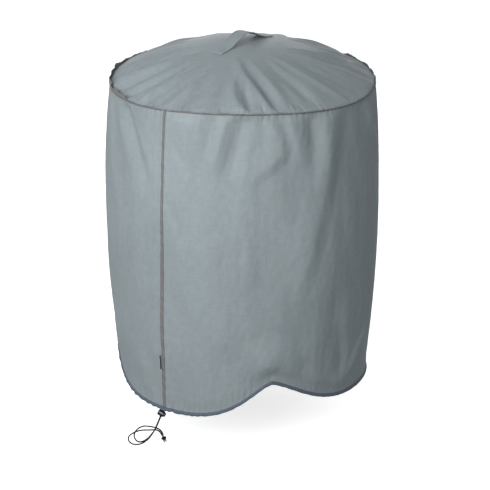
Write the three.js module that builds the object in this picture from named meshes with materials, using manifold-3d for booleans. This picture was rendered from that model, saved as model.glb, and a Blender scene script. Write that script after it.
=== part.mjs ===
// Fabric cover for a kettle grill on a wheeled stand: a domed top panel, a wrap-around skirt closed by one
// bound side seam, a drawcord in the hem with a sprung cord lock, a carrying strap and a side label.
// Millimetres, +Z up. The origin is on the flat underside of the crown, where the cover rests on the lid.
// The bound seam and the cord lock are on the -Y side, and the carrying strap runs along Y.

import * as THREE from "three";
import { mergeVertices } from "three/addons/utils/BufferGeometryUtils.js";
import Module from "manifold-3d";

const wasm = await Module();
wasm.setup();

// Driving dimensions
const FABRIC = 1.2; // thickness of the coated cloth with its folds pressed flat
const GAP = 0.3; // air between pieces that touch
const AROUND = 48; // facets round the cover
const PATCH = { radius: 60, thickness: 1 };
const CROWN_TOP = PATCH.thickness + GAP + FABRIC;
const CROWN_FLAT_RADIUS = 62;
const CROWN_RISE = 88; // from the rim up to the crown
const DOME_POWER = 1.62; // how the dome rounds over from its flat crown
const RIM_RADIUS = 328;
const SKIRT_SWELL = 18.5; // how far the skirt bellies out between rim and hem
const HEM_TAPER = 5; // how far the hem is drawn in
const HEM_HEIGHT = -891; // underside of the hem casing, at the sides
const HEM_TILT = 11; // the hem rides higher at the seam than opposite it
// Places where the hem rides up: over each wheel, and less at the leg's side. All angles in degrees from the seam.
const HEM_RISES = [
  { middle: 50, lift: 100, widths: [17, 23.5], power: 1.5 },
  { middle: -55.5, lift: 95, widths: [22, 22], power: 2 },
  { middle: 110, lift: 24, widths: [40, 40], power: 2 },
];
const CASING = { thickness: 7.2, height: 12.4, bore: 5 };
const SEAM = -Math.PI / 2; // the place round the cover of the drawcord's opening, where the seam meets the hem
const SEAM_DRIFT = 20; // how far to the side of that the seam starts at the rim
const CASING_OPENING = 20; // half the break in the casing where the drawcord comes out
const PIPING = { thickness: 2.2, height: 8.2 };
const SEAM_BINDING = { width: 9, thickness: 1.4 };
const CORD = 3.6; // diameter
const CORD_SPACING = 4.1; // the two strands side by side in the lock
const STRAP = { width: 36, thickness: 2.4, length: 210, sewn: 17, rise: 26, grip: 56 };
const LOCK = { radius: 8, length: 15.5, bore: 5.6, wall: 1.6, travel: 3.2 };
const BUTTON = { radius: 5.45, stands: 4.2, web: 1.7 };
const SPRING = { radius: 3.9, wire: 0.6, turns: 3 };
const LABEL = { height: 38, reach: 10, thickness: 1.2, middle: -738.5, across: 2 };

// The cord lock hangs by the seam. The two strands run straight through it, leaning a little, and their
// loop hangs in the upright plane through `along`.
const LOCK_CENTRE = new THREE.Vector3(-4.5, -330, -886.5);
const LOOP_TURN = THREE.MathUtils.degToRad(194);
const LEAN = THREE.MathUtils.degToRad(22);
const along = new THREE.Vector3(Math.cos(LOOP_TURN), Math.sin(LOOP_TURN), 0);
const outward = new THREE.Vector3(-along.y, along.x, 0);
const upStrands = new THREE.Vector3(0, 0, Math.cos(LEAN)).addScaledVector(along, -Math.sin(LEAN));
const buttonWay = new THREE.Vector3(0, 0, -Math.sin(LEAN)).addScaledVector(along, -Math.cos(LEAN));

// Routes of the two tails below the lock, in the loop's plane: along it, out of it, and up, from the lock.
const STRAIGHT_RUN = [10.6, 0, -19, -38]; // places on the straight stretch, measured up the strands
const OUTER_LOOP = [
  [20.2, 3.4, -50],
  [27.5, 3.6, -63],
  [37.5, 3.2, -77.5],
  [50, 2.6, -90],
  [63, 2, -98.5],
  [77, 1, -103],
  [89, 0.2, -102],
  [96.2, -0.7, -95.2],
  [95.8, -1.8, -86],
  [86.5, -3.1, -75.8],
  [72, -4, -66.5],
  [57.5, -4.6, -61],
  [41, -5, -57.5],
  [27, -5.6, -54.5],
  [16.5, -6.6, -54],
  [8.4, -7, -59],
  [4.4, -7, -66.6],
];
const INNER_LOOP = [
  [20, -1.4, -49],
  [27.4, -1.2, -60.5],
  [37, -1.6, -74],
  [48, -2.2, -85.5],
  [60, -3, -93.5],
  [71, -4.2, -96],
  [80, -5.8, -91],
  [83, -7.2, -81],
  [79, -8.4, -70],
  [70, -9, -59.5],
  [57, -9.4, -52],
  [42, -9.8, -49.5],
  [27, -10.2, -49.5],
  [14.5, -10.7, -52],
  [6.2, -10.9, -59.2],
  [2.4, -10.8, -66.9],
];
const KNOT_TOP = [3.1, -8.9, -67.6];
const KNOT_LEAN = THREE.MathUtils.degToRad(24);

// Ends of the hem's drawcord, from the casing to the top of the straight run, from the lock's centre.
const LEFT_END = [
  [-17, 7.8, 13.5],
  [-9, 7.6, 14.2],
  [-2.4, 6.2, 15.4],
  [2, 4.6, 14.6],
];
const RIGHT_END = [
  [26, 7.8, 13.5],
  [18, 6.4, 14.4],
  [11.4, 3, 15.8],
  [7, 0.4, 14.8],
];

const SLATE = { color: 0x8f9aa0, roughness: 0.75, metalness: 0 };
const TAUPE = { color: 0x77787c, roughness: 0.8, metalness: 0 };
const SLATE_BLUE = { color: 0x5c6678, roughness: 0.8, metalness: 0 };
const CORD_BLACK = { color: 0x101014, roughness: 0.85, metalness: 0 };
const LOCK_NAVY = { color: 0x12121e, roughness: 0.35, metalness: 0 };
const STEEL = { color: 0xb8bcc2, roughness: 0.3, metalness: 1 };
const LABEL_BLACK = { color: 0x16181c, roughness: 0.7, metalness: 0 };

const cover = new THREE.Group();

function addPiece(name, geometry, finish, parent = cover) {
  const mesh = new THREE.Mesh(geometry, new THREE.MeshStandardMaterial(finish));
  mesh.name = name;
  parent.add(mesh);
  return mesh;
}

function solidOf(geometry) {
  const bare = geometry.clone();
  bare.deleteAttribute("normal");
  bare.deleteAttribute("uv");
  const merged = mergeVertices(bare, 1e-4);
  return new wasm.Manifold(
    new wasm.Mesh({
      numProp: 3,
      vertProperties: new Float32Array(merged.getAttribute("position").array),
      triVerts: new Uint32Array(merged.index.array),
    }),
  );
}

function geometryOf(solid) {
  const mesh = solid.getMesh();
  const geometry = new THREE.BufferGeometry();
  geometry.setAttribute("position", new THREE.BufferAttribute(mesh.vertProperties, 3));
  geometry.setIndex(new THREE.BufferAttribute(mesh.triVerts, 1));
  geometry.computeVertexNormals();
  return geometry;
}

// Height of the seam between top panel and skirt, which dips and lifts a little round the cover.
function rimHeight(angle) {
  const degree = THREE.MathUtils.degToRad(1);
  const wave = 5 * Math.cos(2 * (angle + 58 * degree)) + 3.5 * Math.cos(3 * (angle + 55 * degree));
  return CROWN_TOP - CROWN_RISE + wave;
}

// Upper face of the top panel: flat over the crown, then rounding down to the rim.
function topHeight(radius, angle) {
  const share = Math.max(0, (radius - CROWN_FLAT_RADIUS) / (RIM_RADIUS - CROWN_FLAT_RADIUS));
  return CROWN_TOP - (CROWN_TOP - rimHeight(angle)) * share ** DOME_POWER;
}

// Underside of the hem casing, which arches up over the two wheels either side of the seam.
function hemHeight(angle) {
  let height = HEM_HEIGHT + HEM_TILT * Math.cos(angle - SEAM);
  for (const rise of HEM_RISES) {
    const turn = THREE.MathUtils.radToDeg(angle - SEAM) - rise.middle;
    const away = THREE.MathUtils.euclideanModulo(turn + 180, 360) - 180;
    const width = rise.widths[away < 0 ? 0 : 1];
    height += rise.lift * Math.exp(-((Math.abs(away) / width) ** rise.power));
  }
  return height;
}

// Inner radius of the skirt, from 0 at the rim to 1 at the hem.
function skirtRadius(share) {
  return RIM_RADIUS + SKIRT_SWELL * Math.sin(Math.PI * share) - HEM_TAPER * share ** 3;
}

// Height of the skirt's cloth at that share of the way down.
function skirtHeight(share, angle) {
  const top = rimHeight(angle) - FABRIC - GAP;
  const bottom = hemHeight(angle) + CASING.height + GAP;
  return top + (bottom - top) * share;
}

// A section of [radius, height] points turned about Z, each point then moved to what place() gives for it.
function turned(section, place) {
  const points = section.map(([radius, height]) => new THREE.Vector2(radius, height));
  const geometry = new THREE.LatheGeometry(points, AROUND);
  geometry.rotateX(Math.PI / 2);
  const position = geometry.getAttribute("position");
  for (let i = 0; i < position.count; i += 1) {
    const angle = Math.atan2(position.getY(i), position.getX(i));
    const radius = Math.hypot(position.getX(i), position.getY(i));
    const [r, z] = place(angle, radius, position.getZ(i));
    position.setXYZ(i, r * Math.cos(angle), r * Math.sin(angle), z);
  }
  return geometry;
}

// A closed loop of section points, round a middle, with the given half sizes.
function roundSection(middle, halfWidth, halfHeight, sides) {
  const section = [];
  for (let i = 0; i <= sides; i += 1) {
    const turn = (2 * Math.PI * (i % sides)) / sides;
    section.push([middle[0] + halfWidth * Math.cos(turn), middle[1] + halfHeight * Math.sin(turn)]);
  }
  return section;
}

function circle(radius, sides) {
  const shape = new THREE.Shape();
  for (let i = 0; i < sides; i += 1) {
    const turn = (2 * Math.PI * i) / sides;
    shape[i ? "lineTo" : "moveTo"](radius * Math.cos(turn), radius * Math.sin(turn));
  }
  shape.closePath();
  return shape;
}

function cordAlong(points, steps) {
  const path = new THREE.CatmullRomCurve3(points, false, "centripetal");
  return new THREE.ExtrudeGeometry(circle(CORD / 2, 8), { steps, extrudePath: path });
}

function inLoopPlane([run, out, up]) {
  const point = LOCK_CENTRE.clone();
  return point.addScaledVector(along, run).addScaledVector(outward, out).setZ(LOCK_CENTRE.z + up);
}

// A place on the straight stretch of a strand: out is +1 for the front one and -1 for the back one.
function onStrand(up, out) {
  const point = LOCK_CENTRE.clone();
  return point.addScaledVector(upStrands, up).addScaledVector(outward, (out * CORD_SPACING) / 2);
}

function topPanel() {
  const radii = [0, CROWN_FLAT_RADIUS, 100, 150, 200, 250, 300, RIM_RADIUS - 2 * GAP];
  const under = radii.map((radius) => [radius, -FABRIC]);
  const over = radii.map((radius) => [radius, 0]).reverse();
  return turned([...under, ...over], (angle, radius, height) => [radius, topHeight(radius, angle) + height]);
}

const SKIRT_ROWS = 9;

function skirtPanel() {
  const outer = [];
  const inner = [];
  for (let row = 0; row <= SKIRT_ROWS; row += 1) {
    outer.push([RIM_RADIUS + FABRIC, -row]);
    inner.push([RIM_RADIUS, -row]);
  }
  const section = [...inner, ...outer.reverse(), inner[0]];
  return turned(section, (angle, radius, height) => {
    const share = Math.max(0, -height / SKIRT_ROWS);
    return [skirtRadius(share) + radius - RIM_RADIUS, skirtHeight(share, angle)];
  });
}

// The binding stands up along the rim, over the skirt's edge and round the top panel's edge.
function rimPiping() {
  const inside = RIM_RADIUS + GAP;
  const section = [
    [inside, -FABRIC],
    [inside + PIPING.thickness, -FABRIC],
    [inside + PIPING.thickness + GAP, PIPING.height - FABRIC],
    [inside + GAP, PIPING.height - FABRIC],
    [inside, -FABRIC],
  ];
  return turned(section, (angle, radius, height) => [radius, rimHeight(angle) + height]);
}

// The bound seam starts to the side at the rim and comes round to the drawcord's opening at the hem.
function seamAngle(share) {
  return SEAM + (SEAM_DRIFT * (1 - share ** 3.2)) / RIM_RADIUS;
}

function sideSeamBinding() {
  const strip = new THREE.BoxGeometry(SEAM_BINDING.width, SEAM_BINDING.thickness, 1, 2, 1, 2 * SKIRT_ROWS);
  const position = strip.getAttribute("position");
  for (let i = 0; i < position.count; i += 1) {
    const share = 0.005 + 0.99 * (0.5 - position.getZ(i));
    const radius = skirtRadius(share) + FABRIC + GAP + SEAM_BINDING.thickness / 2 - position.getY(i);
    const angle = seamAngle(share) + position.getX(i) / radius;
    position.setXYZ(i, radius * Math.cos(angle), radius * Math.sin(angle), skirtHeight(share, angle));
  }
  return strip;
}

const CASING_MIDDLE = [skirtRadius(1) + FABRIC / 2, CASING.height / 2];

function casingPlace(angle, radius, height) {
  return [radius, hemHeight(angle) + height];
}

function casingBreak() {
  const cut = new THREE.BoxGeometry(2 * CASING_OPENING, 30, 40);
  cut.translate(0, -CASING_MIDDLE[0], hemHeight(SEAM) + CASING_MIDDLE[1]);
  return solidOf(cut);
}

// The casing is a tube of cloth round the hem, broken at the seam so that the drawcord can come out.
function hemCasing() {
  const outer = roundSection(CASING_MIDDLE, CASING.thickness / 2, CASING.height / 2, 10);
  const bore = roundSection(CASING_MIDDLE, CASING.bore / 2, CASING.bore / 2, 8);
  const tube = solidOf(turned(outer, casingPlace)).subtract(solidOf(turned(bore, casingPlace)));
  return geometryOf(tube.subtract(casingBreak()));
}

function drawcordEnd(points, out) {
  const route = points.map(([x, y, z]) => LOCK_CENTRE.clone().add(new THREE.Vector3(x, y, z)));
  route.push(onStrand(STRAIGHT_RUN[0] + 2, out), onStrand(STRAIGHT_RUN[0] + GAP, out));
  return solidOf(cordAlong(route, 14));
}

// The drawcord runs all the way round inside the casing, and its two ends turn down to the lock.
function drawcordInHem() {
  const section = roundSection(CASING_MIDDLE, CORD / 2, CORD / 2, 8);
  const ring = solidOf(turned(section, casingPlace)).subtract(casingBreak());
  return geometryOf(ring.add(drawcordEnd(LEFT_END, -1)).add(drawcordEnd(RIGHT_END, 1)));
}

function drawcordTail(loop, out) {
  const route = STRAIGHT_RUN.map((up) => onStrand(up, out));
  route.push(...loop.map(inLoopPlane));
  return cordAlong(route, 38);
}

// One knot holds both ends of the cord, with the short cut ends below it.
function drawcordKnot() {
  const profile = [[0, 0], [4.6, 0], [5.6, 2.5], [5.9, 5], [5.2, 8], [3.4, 10], [3, 12], [3.4, 17], [0, 17]];
  const points = profile.map(([radius, down]) => new THREE.Vector2(radius, -down)).reverse();
  return new THREE.LatheGeometry(points, 14);
}

function placeKnot(mesh) {
  const down = new THREE.Vector3(0, 0, -Math.cos(KNOT_LEAN)).addScaledVector(along, -Math.sin(KNOT_LEAN));
  mesh.quaternion.setFromUnitVectors(new THREE.Vector3(0, -1, 0), down);
  mesh.position.copy(inLoopPlane(KNOT_TOP)).addScaledVector(down, GAP);
}

// The lock is built along its own X, the way its button points, with the strands along its own Z.
function lockGroup() {
  const group = new THREE.Group();
  const depth = new THREE.Vector3().crossVectors(upStrands, buttonWay);
  group.quaternion.setFromRotationMatrix(new THREE.Matrix4().makeBasis(buttonWay, depth, upStrands));
  group.position.copy(LOCK_CENTRE);
  cover.add(group);
  return group;
}

// A solid of [x, radius] points turned about X.
function turnedAboutX(profile, sides) {
  const points = profile.map(([x, radius]) => new THREE.Vector2(radius, x));
  const geometry = new THREE.LatheGeometry(points, sides);
  geometry.rotateZ(-Math.PI / 2);
  return geometry;
}

// A passage for both strands, round-ended, along Z.
function strandPassage(fromX, toX) {
  const clear = GAP * 2;
  const half = { x: (toX - fromX) / 2, y: (CORD_SPACING + CORD) / 2 + GAP };
  const corner = Math.min(half.x, CORD / 2 + clear);
  const shape = new THREE.Shape();
  shape.moveTo(-half.x, -half.y + corner);
  shape.quadraticCurveTo(-half.x, -half.y, -half.x + corner, -half.y);
  shape.lineTo(half.x - corner, -half.y);
  shape.quadraticCurveTo(half.x, -half.y, half.x, -half.y + corner);
  shape.lineTo(half.x, half.y - corner);
  shape.quadraticCurveTo(half.x, half.y, half.x - corner, half.y);
  shape.lineTo(-half.x + corner, half.y);
  shape.quadraticCurveTo(-half.x, half.y, -half.x, half.y - corner);
  const passage = new THREE.ExtrudeGeometry(shape, { depth: 40, bevelEnabled: false, curveSegments: 3 });
  passage.translate((fromX + toX) / 2, 0, -20);
  return solidOf(passage);
}

const LOCK_MOUTH = 5.6; // open end of the barrel, where the button comes out
const LOCK_BACK = LOCK_MOUTH - LOCK.length;
const STRAND_SIDE = CORD / 2 + GAP;

function lockBarrel() {
  const edge = 2;
  const shell = turnedAboutX(
    [
      [LOCK_BACK, 0],
      [LOCK_BACK, LOCK.radius - edge],
      [LOCK_BACK + edge, LOCK.radius],
      [LOCK_MOUTH - edge / 2, LOCK.radius],
      [LOCK_MOUTH, LOCK.radius - edge / 2],
      [LOCK_MOUTH, 0],
    ],
    20,
  );
  const bore = turnedAboutX(
    [
      [LOCK_BACK + LOCK.wall, 0],
      [LOCK_BACK + LOCK.wall, LOCK.bore],
      [LOCK_MOUTH + 5, LOCK.bore],
      [LOCK_MOUTH + 5, 0],
    ],
    20,
  );
  const body = solidOf(shell).subtract(solidOf(bore));
  return geometryOf(body.subtract(strandPassage(-STRAND_SIDE, STRAND_SIDE)));
}

// The button is a plunger whose passage is longer than the barrel's by its travel.
function lockButton() {
  const back = -STRAND_SIDE - BUTTON.web;
  const front = LOCK_MOUTH + BUTTON.stands;
  const plunger = turnedAboutX(
    [
      [back, 0],
      [back, BUTTON.radius],
      [front - 1, BUTTON.radius],
      [front, BUTTON.radius - 1],
      [front, 0],
    ],
    20,
  );
  return geometryOf(solidOf(plunger).subtract(strandPassage(-STRAND_SIDE, STRAND_SIDE + LOCK.travel)));
}

// Compression spring between the barrel's closed end and the plunger.
function lockSpring() {
  const from = LOCK_BACK + LOCK.wall + SPRING.wire / 2 + GAP / 2;
  const to = -STRAND_SIDE - BUTTON.web - SPRING.wire / 2 - GAP / 2;
  const steps = 12 * SPRING.turns;
  const points = [];
  for (let i = 0; i <= steps; i += 1) {
    const turn = (2 * Math.PI * i) / 12;
    const x = from + ((to - from) * i) / steps;
    points.push(new THREE.Vector3(x, SPRING.radius * Math.cos(turn), SPRING.radius * Math.sin(turn)));
  }
  const path = new THREE.CatmullRomCurve3(points);
  return new THREE.ExtrudeGeometry(circle(SPRING.wire / 2, 6), { steps, extrudePath: path });
}

// Underside of the strap at a place along it: sewn down at both ends and arching over the crown between.
function strapUnderside(y) {
  const free = STRAP.length / 2 - STRAP.sewn;
  const arch = Math.abs(y) < free ? (STRAP.rise * (1 + Math.cos((Math.PI * y) / free))) / 2 : 0;
  return topHeight(Math.abs(y), SEAM) + GAP + arch;
}

function strapPiece(from, to) {
  const steps = 8;
  const shape = new THREE.Shape();
  for (let i = 0; i <= steps; i += 1) {
    const y = from + ((to - from) * i) / steps;
    shape[i ? "lineTo" : "moveTo"](y, strapUnderside(y));
  }
  for (let i = steps; i >= 0; i -= 1) {
    const y = from + ((to - from) * i) / steps;
    shape.lineTo(y, strapUnderside(y) + STRAP.thickness);
  }
  const piece = new THREE.ExtrudeGeometry(shape, { depth: STRAP.width, bevelEnabled: false });
  piece.translate(0, 0, -STRAP.width / 2);
  piece.rotateY(Math.PI / 2);
  piece.rotateX(Math.PI / 2);
  return piece;
}

// Round patch sewn inside the crown, whose underside rests on the grill's lid.
function crownPatch() {
  const disc = new THREE.CylinderGeometry(PATCH.radius, PATCH.radius, PATCH.thickness, AROUND);
  disc.rotateX(Math.PI / 2);
  disc.translate(0, 0, PATCH.thickness / 2);
  return disc;
}

// Folded label sewn in beside the seam, standing straight out. It leans with the skirt's slope there.
function sideLabel() {
  const stitched = 2; // kept clear of the skirt so that the label can fold flat
  const top = skirtHeight(0, SEAM);
  const outside = (height) => skirtRadius((height - top) / (skirtHeight(1, SEAM) - top)) + FABRIC;
  const rise = outside(LABEL.middle + LABEL.height / 2) - outside(LABEL.middle - LABEL.height / 2);
  const label = new THREE.BoxGeometry(LABEL.thickness, LABEL.reach - stitched, LABEL.height);
  label.translate(0, -(LABEL.reach + stitched) / 2, 0);
  label.rotateX(Math.atan(rise / LABEL.height));
  label.translate(LABEL.across, -outside(LABEL.middle), LABEL.middle);
  return label;
}

addPiece("crown_patch", crownPatch(), SLATE);
addPiece("top_panel", topPanel(), SLATE);
addPiece("skirt_panel", skirtPanel(), SLATE);
addPiece("rim_piping", rimPiping(), TAUPE);
addPiece("side_seam_binding", sideSeamBinding(), TAUPE);
addPiece("hem_casing", hemCasing(), SLATE_BLUE);
addPiece("drawcord_in_hem", drawcordInHem(), CORD_BLACK);
addPiece("drawcord_tail_left", drawcordTail(INNER_LOOP, -1), CORD_BLACK);
addPiece("drawcord_tail_right", drawcordTail(OUTER_LOOP, 1), CORD_BLACK);
placeKnot(addPiece("drawcord_knot", drawcordKnot(), CORD_BLACK));

const lock = lockGroup();
addPiece("cord_lock_barrel", lockBarrel(), LOCK_NAVY, lock);
addPiece("cord_lock_button", lockButton(), LOCK_NAVY, lock);
addPiece("cord_lock_spring", lockSpring(), STEEL, lock);

const CUT = 1; // the grip moves up and down between the strap's two sewn ends
addPiece("handle_end_front", strapPiece(-STRAP.length / 2, -STRAP.grip / 2 - CUT), SLATE);
addPiece("handle_grip", strapPiece(-STRAP.grip / 2, STRAP.grip / 2), SLATE);
addPiece("handle_end_back", strapPiece(STRAP.grip / 2 + CUT, STRAP.length / 2), SLATE);
addPiece("side_label", sideLabel(), LABEL_BLACK);

export default cover;
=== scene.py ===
"""Looks of the fabric grill cover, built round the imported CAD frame. Metres, +Z up, origin under the crown.

The bound side seam and the cord lock are on the -Y side, and the carrying strap runs along Y.
Angles round the cover are in degrees from +X, so the seam is at -90.
"""

import math

import bmesh
import bpy
import numpy as np
from mathutils import Matrix, Vector


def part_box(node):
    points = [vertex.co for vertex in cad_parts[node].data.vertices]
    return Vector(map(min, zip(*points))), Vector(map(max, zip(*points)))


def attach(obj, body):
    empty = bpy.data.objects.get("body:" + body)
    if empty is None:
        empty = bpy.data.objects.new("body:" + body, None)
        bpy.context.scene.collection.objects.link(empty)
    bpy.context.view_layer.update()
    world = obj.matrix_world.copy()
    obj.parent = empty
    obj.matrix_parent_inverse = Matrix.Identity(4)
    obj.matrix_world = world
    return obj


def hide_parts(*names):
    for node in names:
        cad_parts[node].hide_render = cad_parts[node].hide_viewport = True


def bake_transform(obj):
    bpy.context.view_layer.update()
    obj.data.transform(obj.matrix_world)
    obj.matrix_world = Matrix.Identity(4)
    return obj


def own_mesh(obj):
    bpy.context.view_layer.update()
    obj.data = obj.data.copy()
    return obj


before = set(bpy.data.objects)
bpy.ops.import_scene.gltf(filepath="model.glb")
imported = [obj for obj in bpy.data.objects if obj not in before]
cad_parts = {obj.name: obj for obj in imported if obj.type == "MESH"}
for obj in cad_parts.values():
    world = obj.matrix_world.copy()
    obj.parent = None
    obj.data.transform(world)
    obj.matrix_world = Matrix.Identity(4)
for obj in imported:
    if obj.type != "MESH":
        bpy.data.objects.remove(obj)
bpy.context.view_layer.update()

MM = 0.001
TAU = 2 * math.pi
WEAVE = 1.1 * MM  # pitch of the cloth's threads

# Driving dimensions, as in the CAD source, in metres
FABRIC = 1.2 * MM
GAP = 0.3 * MM
CROWN_TOP = 2.5 * MM
CROWN_FLAT_RADIUS = 62 * MM
CROWN_RISE = 88 * MM
DOME_POWER = 1.62
RIM_RADIUS = 328 * MM
SKIRT_SWELL = 18.5 * MM
HEM_TAPER = 5 * MM
HEM_HEIGHT = -891 * MM
HEM_TILT = 11 * MM
# Where the hem rides up: degrees from the seam, lift, widths in degrees towards -/+ angles, sharpness
HEM_RISES = (
    (50, 100 * MM, (17, 23.5), 1.5),
    (-55.5, 95 * MM, (22, 22), 2),
    (110, 24 * MM, (40, 40), 2),
)
CASING_HEIGHT = 12.4 * MM
CASING_OPENING = 20 * MM
CORD = 3.6 * MM
CORD_SPACING = 4.1 * MM
STRAP_WIDTH = 36 * MM
STRAP_THICKNESS = 2.4 * MM
STRAP_HALF = 105 * MM
STRAP_FREE = 88 * MM
STRAP_RISE = 26 * MM
GRIP_HALF = 28 * MM
SEAM = -90  # where the seam meets the hem, at the cord lock
SEAM_DRIFT = 20 * MM  # how far towards +X of that it starts at the rim
FLOOR = -1002.5 * MM

LOCK_CENTRE = Vector((-4.5, -330, -886.5)) * MM
LEAN = math.radians(22)
ALONG = Vector((math.cos(math.radians(194)), math.sin(math.radians(194)), 0))
OUTWARD = Vector((-ALONG.y, ALONG.x, 0))
UP_STRANDS = Vector((0, 0, math.cos(LEAN))) - ALONG * math.sin(LEAN)
BUTTON_WAY = Vector((0, 0, -math.sin(LEAN))) - ALONG * math.cos(LEAN)
LOCK_MOUTH = 5.6 * MM
LOCK_BACK = LOCK_MOUTH - 15.5 * MM
LOCK_RADIUS = 8 * MM
LOCK_TRAVEL = 3.2 * MM


# ---------------- camera

def place_object(name, data, location, look):
    """A camera or light at location that looks along look."""
    obj = bpy.data.objects.new(name, data)
    bpy.context.scene.collection.objects.link(obj)
    obj.location = location
    obj.rotation_mode = "QUATERNION"
    obj.rotation_quaternion = look.to_track_quat("-Z", "Y")
    return obj


def direction(azimuth, elevation):
    """The unit vector at those degrees from +X and above the floor."""
    a, e = math.radians(azimuth), math.radians(elevation)
    return Vector((math.cos(a) * math.cos(e), math.sin(a) * math.cos(e), math.sin(e)))


def make_camera():
    data = bpy.data.cameras.new("camera")
    data.lens = 139.4
    data.sensor_width = 36
    data.clip_end = 60
    look = direction(127, -21.63)
    bpy.context.scene.camera = place_object("camera", data, (2.737, -3.621, 1.2652), look)


make_camera()


# ---------------- mesh helpers

def link(name, verts, faces, materials, smooth=True, uvs=None, indices=None):
    """A mesh object. uvs is one (u, v) in metres per vertex, and indices the material slot of each face."""
    mesh = bpy.data.meshes.new(name)
    mesh.from_pydata([tuple(map(float, v)) for v in verts], [], [tuple(map(int, f)) for f in faces])
    mesh.validate()
    obj = bpy.data.objects.new(name, mesh)
    bpy.context.scene.collection.objects.link(obj)
    for material in materials if isinstance(materials, (list, tuple)) else [materials]:
        mesh.materials.append(material)
    mesh.polygons.foreach_set("use_smooth", [smooth] * len(mesh.polygons))
    if indices is not None:
        mesh.polygons.foreach_set("material_index", np.asarray(indices, np.int32))
    if uvs is not None:
        layer = mesh.uv_layers.new(name="cloth")
        loops = np.zeros(len(mesh.loops), np.int32)
        mesh.loops.foreach_get("vertex_index", loops)
        layer.data.foreach_set("uv", np.asarray(uvs, float)[loops].astype(np.float32).ravel())
    mesh.update()
    return obj


def tube_faces(rows, columns):
    """Quads of a rows x columns grid of vertices, row after row, closed round each row."""
    faces = []
    for i in range(rows - 1):
        a, b = i * columns, (i + 1) * columns
        for j in range(columns):
            k = (j + 1) % columns
            faces.append((a + j, a + k, b + k, b + j))
    return faces


def capped_tube(rows, columns):
    """The same with a face over each end."""
    last = (rows - 1) * columns
    return tube_faces(rows, columns) + [tuple(reversed(range(columns))), tuple(range(last, last + columns))]


def unit(rows):
    return rows / np.linalg.norm(rows, axis=-1)[..., None]


def stacked(*parts):
    """Arrays of matching or smaller shapes put side by side as coordinates."""
    return np.stack(np.broadcast_arrays(*parts), -1)


def hill(away, width, power=2):
    """1 in the middle, falling to 0 on both sides."""
    return np.exp(-(np.abs(away / width) ** power))


def sweep(points, section):
    """Rings of section (n, 2) carried along points (m, 3) without twisting. Returns (m, n, 3)."""
    points = np.asarray(points, float)
    tangent = unit(np.gradient(points, axis=0))
    rings = []
    side = np.cross(tangent[0], (0.3, 0.2, 0.93) if abs(tangent[0][2]) < 0.9 else (1, 0, 0))
    for i, t in enumerate(tangent):
        side = unit(side - t * (side @ t))
        up = np.cross(t, side)
        part = section(i) if callable(section) else section
        rings.append(points[i] + part[:, :1] * side + part[:, 1:] * up)
    return np.array(rings)


def circle(radius, sides):
    turn = np.arange(sides) * TAU / sides
    return stacked(radius * np.cos(turn), radius * np.sin(turn))


def run_along(points):
    """Each point's distance from the first, along them."""
    return np.concatenate([[0], np.cumsum(np.linalg.norm(np.diff(points, axis=0), axis=1))])


def at_run(where, run, table):
    """The rows of table at those distances."""
    return np.stack([np.interp(where, run, column) for column in table.T], -1)


def resample(points, spacing):
    run = run_along(points)
    count = max(2, int(round(run[-1] / spacing)) + 1)
    return at_run(np.linspace(0, run[-1], count), run, points)


def through(points, spacing):
    """A smooth curve (centripetal Catmull-Rom) through points, as places `spacing` apart."""
    p = np.asarray(points, float)
    p = np.vstack([2 * p[0] - p[1], p, 2 * p[-1] - p[-2]])
    fine = []
    for a, b, c, d in zip(p, p[1:], p[2:], p[3:]):
        t1 = np.linalg.norm(b - a) ** 0.5
        t2 = t1 + np.linalg.norm(c - b) ** 0.5
        t3 = t2 + np.linalg.norm(d - c) ** 0.5
        for t in np.linspace(t1, t2, 24, endpoint=False):
            ab = ((t1 - t) * a + t * b) / t1
            bc = ((t2 - t) * b + (t - t1) * c) / (t2 - t1)
            cd = ((t3 - t) * c + (t - t2) * d) / (t3 - t2)
            abc = ((t2 - t) * ab + t * bc) / t2
            bcd = ((t3 - t) * bc + (t - t1) * cd) / (t3 - t1)
            fine.append(((t2 - t) * abc + (t - t1) * bcd) / (t2 - t1))
    fine.append(p[-2])
    return resample(np.array(fine), spacing)


def smooth_step(value, low, high):
    t = np.clip((np.asarray(value, float) - low) / (high - low), 0, 1)
    return t * t * (3 - 2 * t)


def ring_of(degrees, radius, height):
    """Places round the cover at those angles, radii and heights."""
    a = np.radians(degrees)
    return stacked(radius * np.cos(a), radius * np.sin(a), height)


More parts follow.
